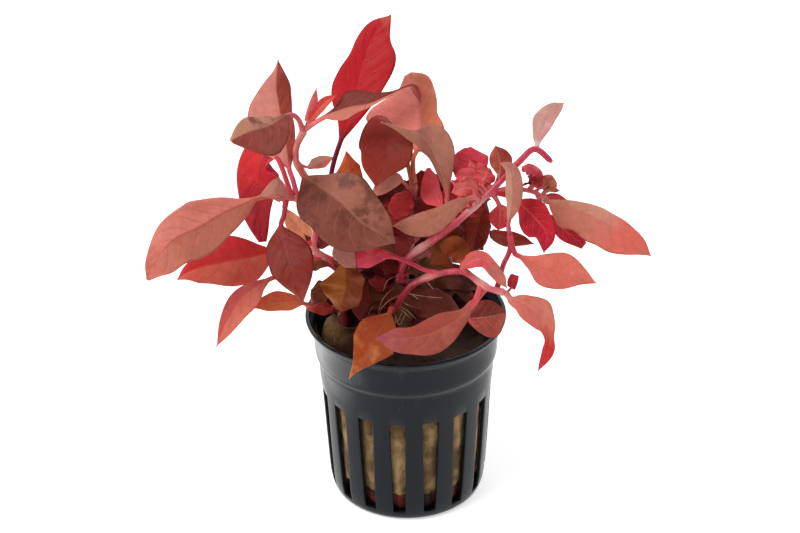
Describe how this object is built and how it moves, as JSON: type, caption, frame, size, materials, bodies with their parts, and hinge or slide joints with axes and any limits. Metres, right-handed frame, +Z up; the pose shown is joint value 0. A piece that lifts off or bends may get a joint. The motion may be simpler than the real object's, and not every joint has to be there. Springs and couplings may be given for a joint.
{
  "type": "potted red aquarium stem plant",
  "caption": "Red and mauve leaved aquarium stem plant with arching pink stems, rooted in mineral wool in a slotted dark net pot.",
  "frame": {"origin": "centre of the underside of the pot, which stands on Z = 0", "axes": "+Z up along the pot's axis, -Y towards the viewer, +X to the viewer's right"},
  "size_m": [0.1198, 0.0645, 0.121],
  "materials": {
    "slate_plastic": "satin injection moulded plastic",
    "mineral_wool": "matt damp fibre",
    "stem_skin": "smooth moist plant skin",
    "mauve_leaf": "satin leaf skin",
    "salmon_leaf": "satin leaf skin",
    "crimson_leaf": "satin leaf skin",
    "pink_leaf": "satin leaf skin",
    "pale_leaf": "satin leaf skin",
    "orange_leaf": "satin leaf skin",
    "olive_leaf": "satin leaf skin",
    "dark_red_leaf": "satin leaf skin"
  },
  "bodies": {
    "root": {"pot": "slate_plastic", "rock_wool": "mineral_wool", "left_tall_stem": "stem_skin", "left_low_stem": "stem_skin", "centre_stem": "stem_skin", "right_stem": "stem_skin", "right_shoot": "stem_skin", "front_stem": "stem_skin", "front_shoot": "stem_skin", "tall_red_leaf": "crimson_leaf", "folded_top_leaf": "mauve_leaf", "round_mauve_leaf": "mauve_leaf", "top_bud": "pink_leaf", "big_mauve_leaf": "mauve_leaf", "small_mauve_leaf": "mauve_leaf", "hooked_leaf": "orange_leaf", "peach_leaf": "pale_leaf", "upright_pink_leaf": "pink_leaf", "red_hanging_leaf": "crimson_leaf", "long_left_leaf": "salmon_leaf", "small_pale_leaf": "pale_leaf", "left_drooping_leaf": "dark_red_leaf", "left_red_leaf": "crimson_leaf", "left_salmon_leaf": "salmon_leaf", "left_curled_leaf": "orange_leaf", "golden_leaf": "olive_leaf", "rim_red_leaf": "crimson_leaf", "pale_centre_leaf": "pale_leaf", "ovate_red_leaf": "dark_red_leaf", "inner_hanging_leaf": "crimson_leaf", "inner_dark_leaf": "dark_red_leaf", "inner_curled_leaf": "pale_leaf", "inner_pink_leaf": "pink_leaf", "arched_leaf": "mauve_leaf", "centre_mauve_leaf": "mauve_leaf", "dark_mauve_leaf": "dark_red_leaf", "cluster_leaf_low": "pink_leaf", "cluster_leaf_high": "pink_leaf", "round_pink_leaf": "pink_leaf", "brown_right_leaf": "mauve_leaf", "pale_tip_leaf": "pale_leaf", "right_mauve_leaf": "mauve_leaf", "crimson_leaf": "crimson_leaf", "inner_right_leaf": "pink_leaf", "long_right_leaf": "salmon_leaf", "small_red_leaf": "crimson_leaf", "crinkled_leaf": "pink_leaf", "crinkled_brown_leaf": "olive_leaf", "thin_leaf_high": "crimson_leaf", "thin_leaf_low": "crimson_leaf", "olive_leaf": "olive_leaf", "low_pink_leaf": "pink_leaf", "rim_orange_leaf": "orange_leaf", "long_front_leaf": "salmon_leaf", "rim_pink_leaf": "salmon_leaf", "bent_right_leaf": "salmon_leaf", "twisted_leaf": "mauve_leaf", "small_dark_leaf": "dark_red_leaf", "salmon_right_leaf": "salmon_leaf", "upright_right_leaf": "mauve_leaf"}
  },
  "joints": []
}
